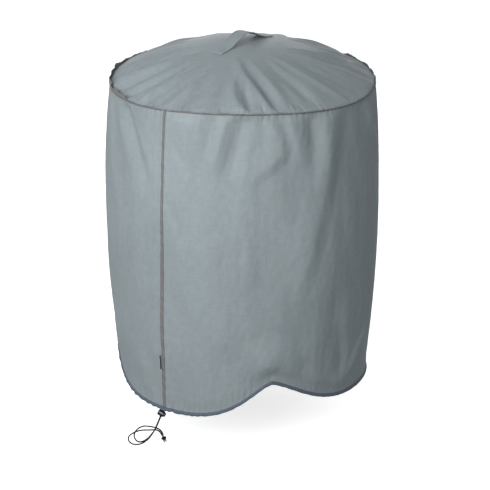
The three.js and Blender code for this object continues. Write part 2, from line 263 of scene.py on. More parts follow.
class Shape:
    """Vertices, faces, cloth coordinates and material slots gathered into one mesh object."""

    def __init__(self):
        self.verts, self.faces, self.uvs, self.slots = [], [], [], []

    def add(self, verts, faces=None, uvs=None, slot=0):
        """Adds a mesh part. Without faces, verts is a grid that makes a capped tube."""
        faces = capped_tube(*verts.shape[:2]) if faces is None else faces
        verts = np.asarray(verts, float).reshape(-1, 3)
        start = len(self.verts)
        self.verts.extend(verts)
        self.faces.extend(tuple(int(i) + start for i in f) for f in faces)
        self.uvs.extend(verts[:, :2] if uvs is None else np.asarray(uvs, float).reshape(-1, 2))
        self.slots.extend([slot] * len(faces))

    def add_tube(self, points, section):
        rings = sweep(points, section)
        around = np.linalg.norm(np.roll(rings[0], -1, 0) - rings[0], axis=1).sum()
        shares = np.arange(len(rings[0])) / len(rings[0])
        self.add(rings, uvs=stacked(run_along(points)[:, None], shares * around))

    def add_stitches(self, points, normals, pitch=3.4 * MM, radius=0.28 * MM, slot=1):
        """Thread lying along points, one little sunk capsule per stitch."""
        points, normals = np.asarray(points, float), np.asarray(normals, float)
        run = run_along(points)
        share = np.array([0.0, 0.12, 0.35, 0.65, 0.88, 1.0])
        rise = np.array([-0.6, 0.25, 0.75, 0.75, 0.25, -0.6]) * radius
        thick = np.array([0.35, 0.85, 1.0, 1.0, 0.85, 0.35]) * radius
        turn = np.arange(6) * TAU / 6
        for begin in np.arange(pitch / 2, run[-1] - pitch, pitch):
            at = begin + share * pitch * 0.74
            where = at_run(at, run, points)
            up = unit(at_run(at[2], run, normals))
            side = unit(np.cross(where[-1] - where[0], up))
            rings = where[:, None] + up * rise[:, None, None]
            rings = rings + thick[:, None, None] * (np.cos(turn)[:, None] * side + np.sin(turn)[:, None] * up)
            self.add(rings, slot=slot)

    def build(self, name, materials):
        """The mesh object of it all, with every closed part's faces turned outwards."""
        return outward_normals(link(name, self.verts, self.faces, materials, True, self.uvs, self.slots))


def edited(obj, change):
    """The object after change has worked on its mesh."""
    made = bmesh.new()
    made.from_mesh(obj.data)
    change(made)
    made.to_mesh(obj.data)
    made.free()
    obj.data.update()
    return obj


def outward_normals(obj):
    return edited(obj, lambda made: bmesh.ops.recalc_face_normals(made, faces=made.faces))


def stand_in(piece, node, body="root"):
    """The piece, standing for a CAD node, whose part it hides. With body None the piece is attached to no
    body.
    """
    if body:
        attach(piece, body)
    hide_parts(node)
    return piece


def finished(obj):
    """The object with its modifiers applied."""
    graph = bpy.context.evaluated_depsgraph_get()
    mesh = bpy.data.meshes.new_from_object(obj.evaluated_get(graph))
    obj.modifiers.clear()
    obj.data = mesh
    return obj


# ---------------- profile of the cover

def rim_height(degrees):
    a = np.radians(degrees)
    wave = 5 * np.cos(2 * (a + math.radians(58))) + 3.5 * np.cos(3 * (a + math.radians(55)))
    return CROWN_TOP - CROWN_RISE + wave * MM


def top_height(radius, degrees):
    share = np.clip((radius - CROWN_FLAT_RADIUS) / (RIM_RADIUS - CROWN_FLAT_RADIUS), 0, None)
    return CROWN_TOP - (CROWN_TOP - rim_height(degrees)) * share**DOME_POWER


def hem_height(degrees):
    degrees = np.asarray(degrees, float)
    height = HEM_HEIGHT + HEM_TILT * np.cos(np.radians(degrees - SEAM))
    for middle, lift, widths, power in HEM_RISES:
        away = (degrees - SEAM - middle + 180) % 360 - 180
        width = np.where(away < 0, *widths)
        height = height + lift * hill(away, width, power)
    return height


def skirt_radius(share):
    share = np.clip(share, 0, 1)
    return RIM_RADIUS + SKIRT_SWELL * np.sin(np.pi * share) - HEM_TAPER * share**3


def skirt_height(share, degrees):
    """Share 0 is the rim, and 1 the top of the hem's casing."""
    top = rim_height(degrees) - FABRIC - GAP
    return top + (hem_height(degrees) + CASING_HEIGHT + GAP - top) * share


def seam_offset(share):
    """How far the middle of the side seam lies towards +X of the cord lock's line."""
    return SEAM_DRIFT * (1 - np.clip(share, 0, 1) ** 3.2)


# ---------------- folds

def waves(degrees, along, seed, slowest, fastest, count, lean=0.0):
    """Smooth random waviness round the cover, about -1 to 1. along varies it down the cloth."""
    draw = np.random.default_rng(seed)
    total = np.zeros(np.broadcast(degrees, along).shape)
    a = np.radians(degrees)
    for _ in range(count):
        turns = int(draw.integers(slowest, fastest + 1))
        drift = draw.normal(0, 1) + lean
        total += np.sin(turns * a + drift * along + draw.uniform(0, TAU))
    return total / math.sqrt(count)


def fold_heights(x, y, folds):
    """Sum of the folds' heights. A fold is (line, heights, west, east): the line's points, how far it stands
    at each, and how wide its two slopes are. East is on the viewer's right of a line drawn downwards."""
    total = np.zeros(x.shape)
    for line, heights, west, east in folds:
        columns = [np.broadcast_to(np.asarray(column, float), len(line)) for column in (heights, west, east)]
        fine = resample_rows(np.column_stack([np.asarray(line, float), *columns]), 14)
        reach = max(fine[:, 3].max(), fine[:, 4].max()) * 1.05
        near = np.ones(x.shape, bool)
        for value, line_value in ((x, fine[:, 0]), (y, fine[:, 1])):
            near &= (value > line_value.min() - reach) & (value < line_value.max() + reach)
        if not near.any():
            continue
        px, py = x[near], y[near]
        best = np.full(px.shape, 1e9)
        value = np.zeros(px.shape)
        for a, b in zip(fine, fine[1:]):
            step = b[:2] - a[:2]
            t = np.clip(((px - a[0]) * step[0] + (py - a[1]) * step[1]) / (step @ step), 0, 1)
            ox, oy = px - (a[0] + t * step[0]), py - (a[1] + t * step[1])
            away = np.hypot(ox, oy)
            closer = away < best
            best = np.where(closer, away, best)
            east_side = step[0] * oy - step[1] * ox > 0
            high, to_west, to_east = (a[k] + (b[k] - a[k]) * t for k in (2, 3, 4))
            width = np.where(east_side, to_east, to_west)
            value = np.where(closer, fold_profile(away / width) * high, value)
        total[near] += value
    return total


def fold_profile(t, crest=0.22):
    """1 on the crest of a fold, falling in a nearly flat slope to 0 at its foot."""
    top = math.sqrt(1 + crest**2)
    share = np.clip((top - np.sqrt(t**2 + crest**2)) / (top - crest), 0, 1)
    return share**1.35


def resample_rows(table, count):
    """A smooth curve through the rows of table."""
    linear = at_run(np.linspace(0, len(table) - 1, count), np.arange(len(table)), table)
    soft = linear.copy()
    soft[1:-1] = (linear[:-2] + 2 * linear[1:-1] + linear[2:]) / 4
    return soft


FOLD_DEPTH = 1.35  # how much deeper the folds hang than the heights below
SKIRT_DROP = 800  # about how far the skirt's cloth hangs, in millimetres

# Folds of the skirt: (degrees, millimetres of height), how far each stands, and its slopes' widths.
SKIRT_FOLDS = [
    # hanging from the rim, left to right
    ([(-128, -100), (-125, -180), (-120, -280), (-117, -380)], (4.3, 7.2, 5.8, 0), 55, 44),
    ([(-113, -92), (-109, -140), (-103, -190), (-97.5, -240), (-94, -300)], (-5, -11, -10, -5, 0), 46, 28),
    ([(-74.5, -86), (-73, -113), (-71, -145), (-69, -200)], (4, 4.5, 3, 0), 60, 26),
    ([(-66.5, -86), (-66, -120), (-66.5, -160), (-67, -200)], (-2.5, -3, -2, 0), 26, 20),
    ([(-59.5, -84), (-61, -128), (-63.5, -188), (-65, -240)], (4, 5.5, 4, 0), 28, 28),
    ([(-52.5, -84), (-54, -130), (-56.5, -190), (-58.5, -240)], (-3, -4, -3, 0), 26, 30),
    (
        [(-43, -86), (-39.5, -121), (-36.6, -162), (-38, -182), (-41.5, -200), (-46, -224), (-53, -248)],
        (2.5, 4, 4.8, 4.8, 4, 2.5, 0), (14, 32, 52, 54, 50, 44, 34), (24, 26, 30, 30, 28, 26, 24),
    ),
    ([(-33.5, -86), (-31.5, -125), (-29.5, -165), (-28, -220)], (3.5, 4.2, 3, 0), 24, 44),
    ([(-22.5, -92), (-21.5, -150), (-21.5, -215), (-22, -270)], (-3.5, -4.5, -2.6, 0), 34, 30),
    (
        [(-14, -96), (-15, -165), (-17, -241), (-21, -340), (-25, -430), (-30, -520), (-35, -590)],
        (3.5, 5.5, 5.2, 4.4, 3.6, 2.4, 0), 56, 40,
    ),
    (
        [(-3, -105), (-5, -180), (-9, -260), (-14, -360), (-20, -470), (-26, -560)],
        (-1.8, -3, -2.4, -1.8, -1.2, 0), 39, 78,
    ),
    ([(10, -95), (15, -150), (20, -205), (26, -280)], (3, 6, 4, 0), 22, 26),
    # across the middle
    ([(-66, -290), (-64.5, -360), (-61, -430), (-57, -505)], (0, -3.2, -3.2, 0), 39, 54),
    ([(-53, -330), (-50.5, -400), (-49.5, -470), (-49, -525)], (0, 2.1, 2.1, 0), 26, 28),
    ([(-72, -470), (-66, -560), (-58.5, -660), (-55, -710)], (0, 4.5, 5, 0), 69, 42),
    ([(-26, -450), (-22, -550), (-19, -650)], (0, 3, 0), 63, 54),
    ([(-84.5, -300), (-81, -350), (-77.5, -415)], (0, -3, 0), 16, 20),
    ([(-82, -150), (-79, -190), (-76, -240)], (0, -2.4, 0), 14, 18),
    # over the wheel, and along the hem
    ([(-52, -764), (-46, -730), (-40.6, -716), (-35, -730), (-29, -764)], (0, 5, 8, 5, 0), 44, 86),
    (
        [(-36, -738), (-28, -758), (-20, -784), (-12, -806), (-3, -824), (6, -828)],
        (0, 1.6, 2.2, 2.2, 1.4, 0), 24, 36,
    ),
    ([(-9, -640), (-6, -700), (-4, -770), (-7, -815)], (0, -3.5, -4.5, 0), 44, 24),
    ([(20, -650), (16.8, -705), (8, -745), (4.6, -781), (-0.4, -819)], (0, 3.2, 4, 3.6, 0), 26, 22),
    ([(-106, -690), (-102, -770), (-99, -850)], (0, 4, 1.6), 60, 39),
    ([(-122, -640), (-124, -720), (-128, -790)], (0, 3.2, 0.8), 39, 39),
    # the small tuck caught in the rim's stitches
    ([(-44.2, -78), (-44.3, -102)], (-7, 0), 4, 4),
]

# Folds of the top: (degrees, millimetres out from the middle), drawn outwards.
TOP_FOLDS = [
    ([(-149, 130), (-150, 240), (-152, 324)], (0, 4, 2), 24, 24),
    ([(-138, 140), (-139, 240), (-141, 320)], (0, -5, -3), 22, 24),
    (
        [(-113, 112), (-119.5, 220), (-127, 298), (-129, 322)], (0, 10, 13, 5),
        (14, 32, 42, 34), (12, 28, 38, 30),
    ),
    (
        [(-99, 140), (-104.5, 235), (-112, 305), (-114, 322)], (0, -7, -9, -3),
        (12, 20, 24, 20), (12, 18, 22, 18),
    ),
    ([(-90, 150), (-95, 242), (-101, 308), (-102, 322)], (0, 7, 8, 3), (12, 18, 22, 18), (12, 18, 22, 18)),
    ([(-82.5, 170), (-88, 250), (-92, 316)], (0, -6, -4), (10, 15, 16), (10, 14, 15)),
    ([(-78.5, 190), (-82.3, 262), (-86.2, 316)], (0, 6.2, 3.4), 15, 17),
    ([(-74, 200), (-76.5, 265), (-79.5, 316)], (0, -5, -2.6), 16, 22),
    ([(-65, 215), (-67, 272), (-70, 318)], (0, 3.5, 1.5), 24, 24),
    # the pinched fold in front, its dark slope and the facet beside it
    ([(-57, 192), (-58, 245), (-56.5, 292), (-53, 322)], (0, 4.6, 7, 4), (14, 28, 40, 36), (11, 16, 22, 18)),
    ([(-51.5, 215), (-51.2, 265), (-49.5, 312)], (0, -4, -3), (10, 14, 16), (9, 13, 12)),
    (
        [(-64, 105), (-53, 190), (-47.2, 240), (-43.3, 285), (-41, 320)],
        (0, 3, 4.2, 4.8, 2.4), (18, 26, 28, 26, 22), (14, 20, 22, 19, 16),
    ),
    (
        [(-56, 105), (-47, 190), (-42.5, 240), (-39.5, 285), (-37.5, 320)],
        (0, -2.6, -3.6, -3.8, -1.6), (12, 18, 20, 18, 15), (14, 26, 28, 26, 22),
    ),
    (
        [(-45, 115), (-37.5, 207), (-33.5, 278), (-33, 316)], (0, 3.3, 3.5, 1.5),
        (12, 22, 24, 20), (14, 24, 26, 22),
    ),
    (
        [(-32, 120), (-25, 204), (-21.5, 262), (-19, 308)], (0, -3.1, -3.1, -1),
        (14, 24, 26, 22), (12, 22, 24, 20),
    ),
    ([(-20, 105), (-8.5, 222), (-1.5, 314)], (0, 3.4, 2), (12, 22, 26), (9, 12, 14)),
    ([(-10, 120), (3, 220), (10, 308)], (0, -2.6, -1.5), 20, 20),
    ([(0, 105), (14, 215), (21, 308)], (0, 3.4, 2), (12, 22, 26), (9, 12, 14)),
    ([(12, 120), (25, 210), (34, 308)], (0, -2.6, -1.5), 20, 20),
    ([(25, 105), (37, 208), (49, 308)], (0, 4, 2), (12, 22, 26), (9, 12, 14)),
]
# Puckers at the rim's stitches: where each starts and ends (degrees, distance out), its height and slopes.
RIM_PUCKERS = (
    (-105, 292, -104.6, 324, -3, 6, 6), (-99, 288, -98.4, 324, 3.8, 7, 6), (-94, 294, -93.6, 324, -3.6, 5, 6),
    (-90.4, 288, -90, 325, 4.2, 7, 6), (-86.5, 298, -86, 324, -4, 5, 5), (-79.5, 296, -79.8, 324, 3.6, 7, 6),
    (-75, 300, -75, 324, -3, 6, 6), (-62, 302, -62, 324, -2.6, 6, 6), (-44.6, 296, -44.2, 325, -4, 5, 6),
    (-31, 298, -31, 324, 3.1, 7, 7), (-27, 300, -26.6, 324, -2.6, 6, 6),
)
TOP_FOLDS += [([(a, r), (b, s)], (0, h), west, east) for a, r, b, s, h, west, east in RIM_PUCKERS]


def far_side_folds():
    """The side that the photograph doesn't show folds in the same way, in places of its own."""
    draw = np.random.default_rng(7)
    skirt, top = [], []
    for i, middle in enumerate(np.arange(44, 214, 11.5)):
        sign = 1 if i % 2 else -1
        a = middle + draw.uniform(-2, 2)
        lean = draw.uniform(-5, 5)
        long = draw.uniform(130, 330)
        high = sign * draw.uniform(4, 7.5)
        line = [(a, -88), (a + lean * 0.4, -88 - long * 0.35), (a + lean, -88 - long)]
        skirt.append((line, (high * 0.7, high, 0), draw.uniform(20, 42), draw.uniform(16, 36)))
        if i % 3 == 0:
            low = draw.uniform(-620, -480)
            line = [(a + 6, low), (a + 9 + lean, low - 130), (a + 11 + lean, low - 260)]
            skirt.append((line, (0, -0.7 * high, 0), 34, 40))
        start = draw.uniform(105, 170)
        line = [(a, start), (a + lean * 0.3, 235), (a + lean * 0.5, 320)]
        top.append((line, (0, high * 0.8, high * 0.4), (9, 15, 20), (8, 13, 18)))
    return skirt, top


FAR_SKIRT_FOLDS, FAR_TOP_FOLDS = far_side_folds()


def skirt_displacement(degrees, share):
    """How far the skirt's cloth stands out of its plain profile, in metres."""
    degrees = (np.asarray(degrees, float) - 50) % 360 - 310  # from -310 to 50, so the seam is in one piece
    z = skirt_height(share, degrees)
    scale = math.radians(1) * RIM_RADIUS / MM
    folds = []
    for line, heights, west, east in SKIRT_FOLDS + FAR_SKIRT_FOLDS:
        turned = [((a if a <= 50 else a - 360) * scale, h) for a, h in line]
        folds.append((turned, heights, west, east))
    total = FOLD_DEPTH * fold_heights(degrees * scale, z / MM, folds)
    from_rim = share * SKIRT_DROP
    from_hem = (1 - share) * SKIRT_DROP
    total += 2.2 * waves(degrees, share * 5, 3, 2, 9, 14)
    total += 0.8 * waves(degrees, share * 14, 5, 8, 34, 22)
    total += 0.22 * waves(degrees, share * 60, 6, 30, 110, 30)
    total *= smooth_step(from_rim, -4, 26) * smooth_step(from_hem, -2, 40)
    near_lock = hill(degrees - SEAM, 26)
    total += 0.75 * waves(degrees, from_rim / 40, 8, 90, 190, 26) * np.exp(-from_rim / 15)
    gathers = (0.5 + 1.3 * near_lock) * np.exp(-from_hem / (16 + 18 * near_lock))
    total += gathers * waves(degrees, from_hem / 60, 9, 70, 150, 22) * smooth_step(from_hem, -3, 8)
    from_seam = (degrees - SEAM) * scale - seam_offset(share) / MM
    # the cloth's rolls beside the seam strip, and the little drags that its stitches pull
    total += 1.7 * hill(from_seam + 6.5, 3) + 1.2 * hill(from_seam - 8, 3.5)
    drag = hill(from_seam, 14, 1)
    total += 0.55 * drag * np.sin(z / MM / 5.2 + 2 * np.sin(z / MM / 31)) * smooth_step(from_rim, 0, 40)
    return total * MM


def skirt_outside(degrees, share):
    """Places on the outer face of the skirt."""
    radius = skirt_radius(share) + FABRIC + skirt_displacement(degrees, share)
    return ring_of(degrees, radius, skirt_height(share, degrees))


def top_outside(radius, degrees):
    """Places on the upper face of the top panel."""
    a = np.radians(degrees)
    x, y = radius * np.cos(a), radius * np.sin(a)
    folds = []
    for line, heights, west, east in TOP_FOLDS + FAR_TOP_FOLDS:
        turned = [(r * math.cos(math.radians(d)), r * math.sin(math.radians(d))) for d, r in line]
        folds.append((turned, heights, west, east))
    total = FOLD_DEPTH * fold_heights(x / MM, y / MM, folds)
    total += 1.3 * waves(degrees, radius * 12, 11, 3, 12, 14) * smooth_step(radius, 0.08, 0.2)
    total += 0.5 * waves(degrees, radius * 24, 12, 12, 40, 22) * smooth_step(radius, 0.1, 0.26)
    from_rim = (RIM_RADIUS - radius) / MM
    under_strap = 1 - smooth_step(np.abs(x), 22 * MM, 34 * MM)
    under_strap = under_strap * (1 - smooth_step(np.abs(y), 108 * MM, 122 * MM))
    total *= smooth_step(radius, 70 * MM, 118 * MM) * (1 - under_strap) * smooth_step(from_rim, -3, 14)
    total += 0.6 * waves(degrees, from_rim / 40, 13, 90, 190, 26) * np.exp(-from_rim / 12)
    return stacked(x, y, top_height(radius, degrees) + total * MM)


# ---------------- materials

class Nodes:
    """Short ways to add the nodes that the materials share, to a material or the world."""

    def __init__(self, owner):
        self.tree = owner.node_tree

    def new(self, kind, values=None, **settings):
        node = self.tree.nodes.new(kind)
        for key, value in settings.items():
            setattr(node, key, value)
        for key, value in (values or {}).items():
            if hasattr(value, "is_output"):
                self.tree.links.new(value, node.inputs[key])
            else:
                node.inputs[key].default_value = value
        return node

    def place(self):
        return self.new("ShaderNodeTexCoord").outputs["Object"]

    def cloth(self):
        """The cloth's own coordinates, and its two axes apart."""
        both = self.new("ShaderNodeUVMap", uv_map="cloth").outputs[0]
        return both, *self.new("ShaderNodeSeparateXYZ", {0: both}).outputs[:2]

    def math(self, operation, a, b=0.0, c=0.0):
        return self.new("ShaderNodeMath", {0: a, 1: b, 2: c}, operation=operation).outputs[0]

    def noise(self, vector, scale, detail=3.0, roughness=0.5):
        values = {"Vector": vector, "Scale": scale, "Detail": detail, "Roughness": roughness}
        return self.new("ShaderNodeTexNoise", values).outputs["Fac"]

    def scaled(self, vector, factors):
        return self.new("ShaderNodeVectorMath", {0: vector, 1: factors}, operation="MULTIPLY").outputs[0]

    def mix(self, factor, a, b):
        return self.new("ShaderNodeMix", {0: factor, 6: a, 7: b}, data_type="RGBA").outputs[2]

    def ramp(self, value, low, high, to_low=0.0, to_high=1.0, curve="LINEAR"):
        values = {"Value": value, "From Min": low, "From Max": high, "To Min": to_low, "To Max": to_high}
        return self.new("ShaderNodeMapRange", values, interpolation_type=curve).outputs[0]

    def surface(self, colour, roughness=None, height=None, strength=1.0, distance=MM):
        """Feeds the Principled shader's colour, roughness and bump."""
        normal = None
        if height is not None:
            values = {"Height": height, "Strength": strength, "Distance": distance}
            normal = self.new("ShaderNodeBump", values).outputs[0]
        sockets = self.tree.nodes["Principled BSDF"].inputs
        for name, output in (("Base Color", colour), ("Roughness", roughness), ("Normal", normal)):
            if output is not None:
                self.tree.links.new(output, sockets[name])


def shader_material(name, base, roughness, **sockets):
    """A new material with its Principled shader's constants set, and the maker of its nodes."""
    material = bpy.data.materials.new(name)
    material.use_nodes = True
    inputs = material.node_tree.nodes["Principled BSDF"].inputs
    inputs["Base Color"].default_value = (*base, 1)
    inputs["Roughness"].default_value = roughness
    for socket, value in sockets.items():
        inputs[socket.replace("_", " ")].default_value = value
    return material, Nodes(material)


def shade(base, factor, extra=0.0):
    return tuple(min(1, c * factor + extra) for c in base) + (1,)


def woven(name, base, pitch=WEAVE, roughness=0.62, variation=0.06, sheen=0.25, rib=0.0):
    """Plain-woven cloth. Threads cross at `pitch` in the cloth's own coordinates, with uneven yarn,
    slow changes of tone and a faint sheen. rib above 0 makes the crosswise threads stand up, as on a tape."""
    material, n = shader_material(
        name, base, roughness, Sheen_Weight=sheen, Sheen_Roughness=0.45, Specular_IOR_Level=0.32,
        Sheen_Tint=(0.86, 0.93, 1, 1),
    )
    cloth, cloth_x, cloth_y = n.cloth()
    place = n.place()
    uneven = n.math("MULTIPLY", n.noise(cloth, 260.0, 2.0), 1.1)
    across = n.math("MULTIPLY_ADD", cloth_x, TAU / (2 * pitch), uneven)
    along = n.math("MULTIPLY_ADD", cloth_y, TAU / (2 * pitch), uneven)
    warp = n.math("ABSOLUTE", n.math("SINE", across))
    weft = n.math("ABSOLUTE", n.math("SINE", along))
    over = n.math("GREATER_THAN", n.math("MULTIPLY", n.math("COSINE", across), n.math("COSINE", along)), 0.0)
    crossing = n.new("ShaderNodeMix", {0: over, 2: warp, 3: weft}).outputs[0]
    if rib:
        crossing = n.math("ADD", n.math("MULTIPLY", crossing, 1 - rib), n.math("MULTIPLY", weft, rib))
    slub = n.noise(n.scaled(cloth, (28.0, 520.0, 1.0)), 1.0, 2.0)
    slub_up = n.noise(n.scaled(cloth, (520.0, 28.0, 1.0)), 1.0, 2.0)
    yarn = n.math("ADD", slub, slub_up)
    clouds = n.noise(place, 5.0, 4.0, 0.55)
    specks = n.noise(place, 70.0, 3.0, 0.6)
    tone = n.math("ADD", n.ramp(clouds, 0.3, 0.7, -1, 1), n.ramp(yarn, 0.7, 1.3, -0.9, 0.9))
    tone = n.math("ADD", tone, n.ramp(specks, 0.3, 0.7, -0.7, 0.7))
    tone = n.math("ADD", tone, n.ramp(crossing, 0.0, 1.0, -1.2, 0.8))
    height = n.math("ADD", crossing, n.math("MULTIPLY", yarn, 0.5))
    height = n.math("ADD", height, n.math("MULTIPLY", specks, 1.6))
    n.surface(
        n.mix(n.ramp(tone, -2.0, 2.0), shade(base, 1 - 2 * variation), shade(base, 1 + 2 * variation)),
        n.ramp(clouds, 0.3, 0.7, roughness - 0.05, roughness + 0.07), height, 0.75, 0.1 * MM,
    )
    return material


def coated(name, base):
    """The waterproof coating on the inside of the cloth: smoother, a little shiny, with fine creases."""
    material, n = shader_material(name, base, 0.42, Coat_Weight=0.12, Coat_Roughness=0.3)
    place = n.place()
    clouds = n.noise(place, 7.0, 4.0, 0.6)
    creases = n.noise(place, 55.0, 4.0, 0.65)
    grain = n.noise(place, 700.0, 1.0)
    n.surface(
        n.mix(n.ramp(clouds, 0.3, 0.7), shade(base, 0.86), shade(base, 1.12)),
        n.ramp(creases, 0.3, 0.7, 0.34, 0.55),
        n.math("ADD", creases, n.math("MULTIPLY", grain, 0.12)), 0.5, 0.5 * MM,
    )
    return material


def thread(name, base):
    """Twisted sewing thread."""
    material, n = shader_material(name, base, 0.5, Sheen_Weight=0.2, Sheen_Roughness=0.4)
    fibres = n.noise(n.place(), 1500.0, 2.0)
    n.surface(n.mix(fibres, shade(base, 0.8), shade(base, 1.2)), None, fibres, 0.6, 0.1 * MM)
    return material


def braided(name, base):
    """Braided cord: dull black strands that cross, with paler worn fibres on their crowns."""
    material, n = shader_material(
        name, base, 0.85, Sheen_Weight=0.04, Sheen_Roughness=0.5, Specular_IOR_Level=0.2
    )
    _, along, around = n.cloth()
    turn = n.math("MULTIPLY", around, TAU / (CORD * math.pi) * 6)
    run = n.math("MULTIPLY", along, TAU / (2.6 * MM))
    left = n.math("SINE", n.math("ADD", run, turn))
    right = n.math("SINE", n.math("SUBTRACT", run, turn))
    strands = n.math("MAXIMUM", left, right)
    fibres = n.noise(n.place(), 1800.0, 2.0)
    worn = n.math("MULTIPLY", n.ramp(strands, 0.4, 1.0), n.ramp(fibres, 0.45, 0.7))
    n.surface(
        n.mix(worn, shade(base, 1), shade(base, 2, 0.004)), n.ramp(strands, -1.0, 1.0, 0.9, 0.66),
        n.math("ADD", strands, n.math("MULTIPLY", fibres, 0.6)), 0.7, 0.18 * MM,
    )
    return material


def moulded(name, base):
    """Injection-moulded plastic: glossy, faintly uneven, with fine scuffs."""
    material, n = shader_material(name, base, 0.28, Coat_Weight=0.2, Coat_Roughness=0.15)
    place = n.place()
    flow = n.noise(place, 180.0, 3.0)
    scuffs = n.noise(n.scaled(place, (900.0, 900.0, 140.0)), 1.0, 3.0, 0.7)
    n.surface(
        n.mix(n.ramp(scuffs, 0.6, 0.8), shade(base, 1), shade(base, 1.7, 0.004)),
        n.ramp(scuffs, 0.35, 0.75, 0.22, 0.45), flow, 0.35, 0.08 * MM,
    )
    return material


def drawn_wire(name):
    material, n = shader_material(name, (0.55, 0.56, 0.58), 0.3, Metallic=1.0)
    lines = n.noise(n.scaled(n.place(), (4000.0, 400.0, 400.0)), 1.0, 2.0)
    n.surface(n.mix(lines, (0.45, 0.46, 0.48, 1), (0.63, 0.64, 0.66, 1)), n.ramp(lines, 0.3, 0.7, 0.22, 0.42))
    return material


SLATE = woven("slate_cloth_weave", (0.212, 0.247, 0.26), sheen=0.12)
INSIDE = coated("cloth_coating", (0.2, 0.225, 0.24))
TAUPE = woven("taupe_binding_weave", (0.145, 0.142, 0.142), pitch=0.8 * MM, sheen=0.1, rib=0.6)
# The hem tape's dark blue is partly its own colour and partly painted shade, standing for the shadow under
# the hem's roll.
HEM_BLUE_AND_SHADE = woven("hem_tape_weave_and_painted_shade", (0.074, 0.09, 0.122), pitch=0.9 * MM, sheen=0.2, rib=0.5)
LABEL_CLOTH = woven("label_weave", (0.016, 0.019, 0.026), pitch=0.5 * MM, sheen=0.2, rib=0.4)
PALE_THREAD = thread("grey_thread", (0.33, 0.36, 0.38))
DARK_THREAD = thread("dark_thread", (0.06, 0.065, 0.075))
CORD_BLACK = braided("cord_braid", (0.006, 0.006, 0.007))
LOCK_NAVY = moulded("lock_plastic_navy", (0.009, 0.009, 0.022))
WIRE = drawn_wire("spring_wire")


# ---------------- drawcord

def in_loop_plane(run, out, up):
    point = LOCK_CENTRE + ALONG * (run * MM) + OUTWARD * (out * MM)
    point.z = LOCK_CENTRE.z + up * MM
    return point


def on_strand(up, out):
    return LOCK_CENTRE + UP_STRANDS * (up * MM) + OUTWARD * (out * CORD_SPACING / 2)


STRAND_TOP = 10.6
STRAIGHT_RUN = (STRAND_TOP, 0, -19, -38)
OUTER_LOOP = [
    (20.2, 3.4, -50), (27.5, 3.6, -63), (37.5, 3.2, -77.5), (50, 2.6, -90), (63, 2, -98.5),
    (77, 1, -103), (89, 0.2, -102), (96.2, -0.7, -95.2), (95.8, -1.8, -86), (86.5, -3.1, -75.8),
    (72, -4, -66.5), (57.5, -4.6, -61), (41, -5, -57.5), (27, -5.6, -54.5), (16.5, -6.6, -54),
    (8.4, -7, -59), (4.4, -7, -66.6),
]
INNER_LOOP = [
    (20, -1.4, -49), (27.4, -1.2, -60.5), (37, -1.6, -74), (48, -2.2, -85.5), (60, -3, -93.5),
    (71, -4.2, -96), (80, -5.8, -91), (83, -7.2, -81), (79, -8.4, -70), (70, -9, -59.5),
    (57, -9.4, -52), (42, -9.8, -49.5), (27, -10.2, -49.5), (14.5, -10.7, -52), (6.2, -10.9, -59.2),
    (2.4, -10.8, -66.9),
]
KNOT_TOP = (3.1, -8.9, -67.6)
KNOT_LEAN = math.radians(24)
LEFT_END = [(-17, 7.8, 13.5), (-9, 7.6, 14.2), (-2.4, 6.2, 15.4), (2, 4.6, 14.6)]
RIGHT_END = [(26, 7.8, 13.5), (18, 6.4, 14.4), (11.4, 3, 15.8), (7, 0.4, 14.8)]


def braid_section(ring):
    """Cord section whose eight strands stand out a little and cross from ring to ring."""
    turn = np.arange(20) * TAU / 20
    run = ring * 0.9
    swell = np.maximum(np.sin(4 * turn + run), np.sin(4 * turn - run))
    radius = CORD / 2 * (0.975 + 0.035 * swell)
    return stacked(radius * np.cos(turn), radius * np.sin(turn))


def braided_cord(name, points):
    shape = Shape()
    shape.add_tube(points, braid_section)
    return shape.build(name, [CORD_BLACK])


def make_tail(name, loop, out, node):
    """One free end of the cord, and the points that it follows."""
    route = [on_strand(up, out) for up in STRAIGHT_RUN] + [in_loop_plane(*p) for p in loop]
    path = through(route, 1.2 * MM)
    return stand_in(braided_cord(name, path), node), path


def make_knot():
    """Both ends of the cord tied in one overhand knot, with two short frayed ends below it."""
    shape = Shape()
    down = Vector((0, 0, -math.cos(KNOT_LEAN))) - ALONG * math.sin(KNOT_LEAN)
    side = down.cross(OUTWARD).normalized()
    top = in_loop_plane(*KNOT_TOP)

    def placed(x, y, z):
        return np.array(top + side * (x * MM) + OUTWARD * (y * MM) + down * (z * MM))

    turn = np.linspace(0, TAU, 91)
    size = 1.75
    x = size * (np.sin(turn) + 2 * np.sin(2 * turn))
    z = 6.2 + size * (np.cos(turn) - 2 * np.cos(2 * turn))
    loop = [placed(*p) for p in zip(x, 2.1 * np.sin(3 * turn), z)]
    shape.add_tube(np.array(loop), braid_section)
    draw = np.random.default_rng(19)
    for lean in (-1, 1):
        route = [placed(lean * 1.0, lean * 0.9, 8), placed(lean * 1.7, lean * 1.1, 12)]
        route.append(placed(lean * 2.0, lean * 1.3, 15.4))
        stub = through(route, 0.8 * MM)
        shape.add_tube(stub, circle(1.7 * MM, 14))
        way = unit(stub[-1] - stub[-2])
        for _ in range(26):
            splay = draw.normal(0, 0.24, 3)
            start = stub[-1] + draw.normal(0, 0.75, 3) * MM - way * MM
            reach = draw.uniform(1.8, 3.2) * MM
            bend = start + (way + splay * 0.5) * reach * 0.5
            fibre = through([start, bend, start + (way + splay) * reach], 0.6 * MM)
            shape.add_tube(fibre, circle(0.16 * MM, 5))
    return stand_in(shape.build("drawcord_knot_tied", [CORD_BLACK]), "drawcord_knot")


left_tail, left_path = make_tail("drawcord_left_end", INNER_LOOP, -1, "drawcord_tail_left")
right_tail, right_path = make_tail("drawcord_right_end", OUTER_LOOP, 1, "drawcord_tail_right")
knot = make_knot()


def casing_angle_gap(opening=CASING_OPENING):
    """Degrees from the middle of the opening in the casing to a place that far to its side."""
    return math.degrees(math.asin(opening / skirt_radius(1.0)))


